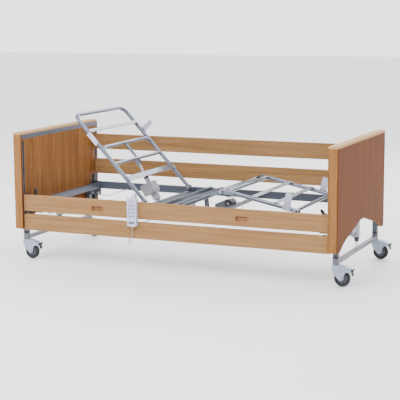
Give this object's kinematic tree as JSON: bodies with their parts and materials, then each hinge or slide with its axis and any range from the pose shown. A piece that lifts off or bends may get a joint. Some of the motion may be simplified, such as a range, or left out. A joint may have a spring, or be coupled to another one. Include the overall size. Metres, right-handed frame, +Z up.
{
  "type": "adjustable hospital bed",
  "caption": "Homecare bed with wooden ends, sliding wooden side rails, a profiling steel deck with drives, and braked castors.",
  "frame": {"origin": "on the floor, below the middle of the whole part's box", "axes": "+Z up, +X towards the foot end, -Y towards the side that carries the handset"},
  "size_m": [2.261, 1.0314, 0.9544],
  "materials": {
    "oak": "woodgrain laminate",
    "oak_board": "woodgrain laminate",
    "beech": "lacquered beech",
    "cap": "satin",
    "grey_plastic": "fine texture",
    "black_plastic": "fine texture",
    "castor_plastic": "satin",
    "tyre": "matt",
    "slate_paint": "powder coat",
    "silver_paint": "powder coat",
    "white_plastic": "satin",
    "key_plastic": "satin",
    "steel": "drawn",
    "zinc": "zinc plated",
    "cable": "smooth"
  },
  "bodies": {
    "bed_frame": {"head_panel": "oak", "foot_panel": "oak", "inner_boards": "oak_board", "top_caps": "cap", "rail_guides": "grey_plastic", "head_end_frame": "slate_paint", "foot_end_frame": "slate_paint", "lift_motors": "black_plastic", "lift_boots": "black_plastic", "leg_bushes": "black_plastic", "near_side_beam": "slate_paint", "far_side_beam": "slate_paint", "deck_crossbars": "slate_paint", "hinge_bolts": "zinc", "control_box": "black_plastic", "handset_cable": "cable", "thigh_cable": "cable", "head_cable": "cable"},
    "head_legs": {"head_leg_frame": "slate_paint", "head_lift_rod": "steel"},
    "foot_legs": {"foot_leg_frame": "slate_paint", "foot_lift_rod": "steel"},
    "near_upper_rail": {"near_upper_board": "beech", "near_grips": "grey_plastic", "handset": "white_plastic"},
    "near_lower_rail": {"near_lower_board": "beech"},
    "far_upper_rail": {"far_upper_board": "beech", "far_grips": "grey_plastic"},
    "far_lower_rail": {"far_lower_board": "beech"},
    "backrest": {"back_frame": "silver_paint", "back_retainers": "white_plastic"},
    "back_actuator": {"back_motor": "black_plastic"},
    "back_piston": {"back_rod": "steel"},
    "thigh_section": {"thigh_frame": "silver_paint", "knee_bolts": "zinc"},
    "leg_section": {"leg_section_frame": "silver_paint", "leg_retainers": "white_plastic"},
    "thigh_actuator": {"thigh_motor": "black_plastic"},
    "thigh_piston": {"thigh_rod": "steel"},
    "near_head_castor": {"near_head_castor_fork": "castor_plastic"},
    "near_head_wheel": {"near_head_castor_wheel": "tyre"},
    "near_head_pedal": {"near_head_brake_pedal": "black_plastic"},
    "far_head_castor": {"far_head_castor_fork": "castor_plastic"},
    "far_head_wheel": {"far_head_castor_wheel": "tyre"},
    "far_head_pedal": {"far_head_brake_pedal": "black_plastic"},
    "near_foot_castor": {"near_foot_castor_fork": "castor_plastic"},
    "near_foot_wheel": {"near_foot_castor_wheel": "tyre"},
    "near_foot_pedal": {"near_foot_brake_pedal": "black_plastic"},
    "far_foot_castor": {"far_foot_castor_fork": "castor_plastic"},
    "far_foot_wheel": {"far_foot_castor_wheel": "tyre"},
    "far_foot_pedal": {"far_foot_brake_pedal": "black_plastic"},
    "all_rocker": {"all_key": "key_plastic"},
    "height_rocker": {"height_key": "key_plastic"},
    "knee_rocker": {"knee_key": "key_plastic"},
    "back_rocker": {"back_key": "key_plastic"},
    "near_head_lever": {"near_head_clamp_lever": "black_plastic"},
    "far_head_lever": {"far_head_clamp_lever": "black_plastic"},
    "near_foot_lever": {"near_foot_clamp_lever": "black_plastic"},
    "far_foot_lever": {"far_foot_clamp_lever": "black_plastic"}
  },
  "joints": [
    {"name": "head_lift", "type": "slide", "parent": "bed_frame", "child": "head_legs", "axis": [0, 0, -1], "range_m": [0, 0.4]},
    {"name": "foot_lift", "type": "slide", "parent": "bed_frame", "child": "foot_legs", "axis": [0, 0, -1], "range_m": [0, 0.4]},
    {"name": "near_head_swivel", "type": "hinge", "parent": "head_legs", "child": "near_head_castor", "pos_m": [-1.0975, -0.41425, 0.127], "axis": [0, 0, 1], "continuous": true},
    {"name": "near_head_roll", "type": "hinge", "parent": "near_head_castor", "child": "near_head_wheel", "pos_m": [-1.0575, -0.41425, 0.05], "axis": [0, 1, 0], "continuous": true},
    {"name": "near_head_brake", "type": "hinge", "parent": "near_head_castor", "child": "near_head_pedal", "pos_m": [-0.9985, -0.41425, 0.095], "axis": [0, 1, 0], "range_deg": [0, 15]},
    {"name": "far_head_swivel", "type": "hinge", "parent": "head_legs", "child": "far_head_castor", "pos_m": [-1.0975, 0.42575, 0.127], "axis": [0, 0, 1], "continuous": true},
    {"name": "far_head_roll", "type": "hinge", "parent": "far_head_castor", "child": "far_head_wheel", "pos_m": [-1.0575, 0.42575, 0.05], "axis": [0, 1, 0], "continuous": true},
    {"name": "far_head_brake", "type": "hinge", "parent": "far_head_castor", "child": "far_head_pedal", "pos_m": [-0.9985, 0.42575, 0.095], "axis": [0, 1, 0], "range_deg": [0, 15]},
    {"name": "near_foot_swivel", "type": "hinge", "parent": "foot_legs", "child": "near_foot_castor", "pos_m": [1.0165, -0.41425, 0.127], "axis": [0, 0, 1], "continuous": true},
    {"name": "near_foot_roll", "type": "hinge", "parent": "near_foot_castor", "child": "near_foot_wheel", "pos_m": [1.0565, -0.41425, 0.05], "axis": [0, 1, 0], "continuous": true},
    {"name": "near_foot_brake", "type": "hinge", "parent": "near_foot_castor", "child": "near_foot_pedal", "pos_m": [1.1155, -0.41425, 0.095], "axis": [0, 1, 0], "range_deg": [0, 15]},
    {"name": "far_foot_swivel", "type": "hinge", "parent": "foot_legs", "child": "far_foot_castor", "pos_m": [1.0165, 0.42575, 0.127], "axis": [0, 0, 1], "continuous": true},
    {"name": "far_foot_roll", "type": "hinge", "parent": "far_foot_castor", "child": "far_foot_wheel", "pos_m": [1.0565, 0.42575, 0.05], "axis": [0, 1, 0], "continuous": true},
    {"name": "far_foot_brake", "type": "hinge", "parent": "far_foot_castor", "child": "far_foot_pedal", "pos_m": [1.1155, 0.42575, 0.095], "axis": [0, 1, 0], "range_deg": [0, 15]},
    {"name": "near_upper_slide", "type": "slide", "parent": "bed_frame", "child": "near_upper_rail", "axis": [0, 0, 1], "range_m": [0, 0.3015], "deforming": ["handset_cable"]},
    {"name": "near_lower_slide", "type": "slide", "parent": "bed_frame", "child": "near_lower_rail", "axis": [0, 0, 1], "range_m": [0, 0.2491]},
    {"name": "far_upper_slide", "type": "slide", "parent": "bed_frame", "child": "far_upper_rail", "axis": [0, 0, 1], "range_m": [-0.3015, 0]},
    {"name": "far_lower_slide", "type": "slide", "parent": "bed_frame", "child": "far_lower_rail", "axis": [0, 0, 1], "range_m": [-0.2491, 0]},
    {"name": "backrest_hinge", "type": "hinge", "parent": "bed_frame", "child": "backrest", "pos_m": [-0.2725, 0.00575, 0.412], "axis": [0, 1, 0], "range_deg": [-46.8, 23.2]},
    {"name": "back_motor_pivot", "type": "hinge", "parent": "bed_frame", "child": "back_actuator", "pos_m": [-0.3305, 0.00575, 0.345], "axis": [0, 1, 0], "range_deg": [-44.6, 22.2]},
    {"name": "back_piston_slide", "type": "slide", "parent": "back_actuator", "child": "back_piston", "axis": [-0.504, 0, 0.8637], "range_m": [-0.0685, 0.0341]},
    {"name": "thigh_hinge", "type": "hinge", "parent": "bed_frame", "child": "thigh_section", "pos_m": [0.0045, 0.00575, 0.408], "axis": [0, -1, 0], "range_deg": [-21.6, 10]},
    {"name": "knee_hinge", "type": "hinge", "parent": "thigh_section", "child": "leg_section", "pos_m": [0.25647, 0.00575, 0.50776], "axis": [0, -1, 0], "range_deg": [-15.3, 33]},
    {"name": "thigh_motor_pivot", "type": "hinge", "parent": "bed_frame", "child": "thigh_actuator", "pos_m": [0.1745, 0.00575, 0.38], "axis": [0, -1, 0], "range_deg": [-3.3, 1.6], "deforming": ["thigh_cable"]},
    {"name": "thigh_piston_slide", "type": "slide", "parent": "thigh_actuator", "child": "thigh_piston", "axis": [-0.9363, 0, -0.3511], "range_m": [-0.0145, 0.031]},
    {"name": "all_press", "type": "hinge", "parent": "near_upper_rail", "child": "all_rocker", "pos_m": [-0.2755, -0.51075, 0.3435], "axis": [0, 0, 1], "range_deg": [-5, 5], "stiffness_Nm_per_rad": 0.05},
    {"name": "height_press", "type": "hinge", "parent": "near_upper_rail", "child": "height_rocker", "pos_m": [-0.2755, -0.51075, 0.3675], "axis": [0, 0, 1], "range_deg": [-5, 5], "stiffness_Nm_per_rad": 0.05},
    {"name": "knee_press", "type": "hinge", "parent": "near_upper_rail", "child": "knee_rocker", "pos_m": [-0.2755, -0.51075, 0.3915], "axis": [0, 0, 1], "range_deg": [-5, 5], "stiffness_Nm_per_rad": 0.05},
    {"name": "back_press", "type": "hinge", "parent": "near_upper_rail", "child": "back_rocker", "pos_m": [-0.2755, -0.51075, 0.4155], "axis": [0, 0, 1], "range_deg": [-5, 5], "stiffness_Nm_per_rad": 0.05},
    {"name": "near_head_lever_turn", "type": "hinge", "parent": "bed_frame", "child": "near_head_lever", "pos_m": [-1.0405, -0.38525, 0.376], "axis": [0, 1, 0], "range_deg": [0, 35]},
    {"name": "far_head_lever_turn", "type": "hinge", "parent": "bed_frame", "child": "far_head_lever", "pos_m": [-1.0405, 0.39675, 0.376], "axis": [0, 1, 0], "range_deg": [0, 35]},
    {"name": "near_foot_lever_turn", "type": "hinge", "parent": "bed_frame", "child": "near_foot_lever", "pos_m": [0.9595, -0.38525, 0.376], "axis": [0, 1, 0], "range_deg": [0, 35]},
    {"name": "far_foot_lever_turn", "type": "hinge", "parent": "bed_frame", "child": "far_foot_lever", "pos_m": [0.9595, 0.39675, 0.376], "axis": [0, 1, 0], "range_deg": [0, 35]}
  ],
  "couplings": [
    {"joint": "foot_lift", "follows": "head_lift", "ratio": 1},
    {"joint": "near_lower_slide", "follows": "near_upper_slide", "ratio": 0.82587},
    {"joint": "far_lower_slide", "follows": "far_upper_slide", "ratio": 0.82587},
    {"joint": "back_motor_pivot", "follows": "backrest_hinge", "ratio": 0.95},
    {"joint": "back_piston_slide", "follows": "backrest_hinge", "m_per_rad": 0.0837},
    {"joint": "knee_hinge", "follows": "thigh_hinge", "ratio": -1.525},
    {"joint": "thigh_motor_pivot", "follows": "thigh_hinge", "ratio": 0.15},
    {"joint": "thigh_piston_slide", "follows": "thigh_hinge", "m_per_rad": -0.0819}
  ]
}
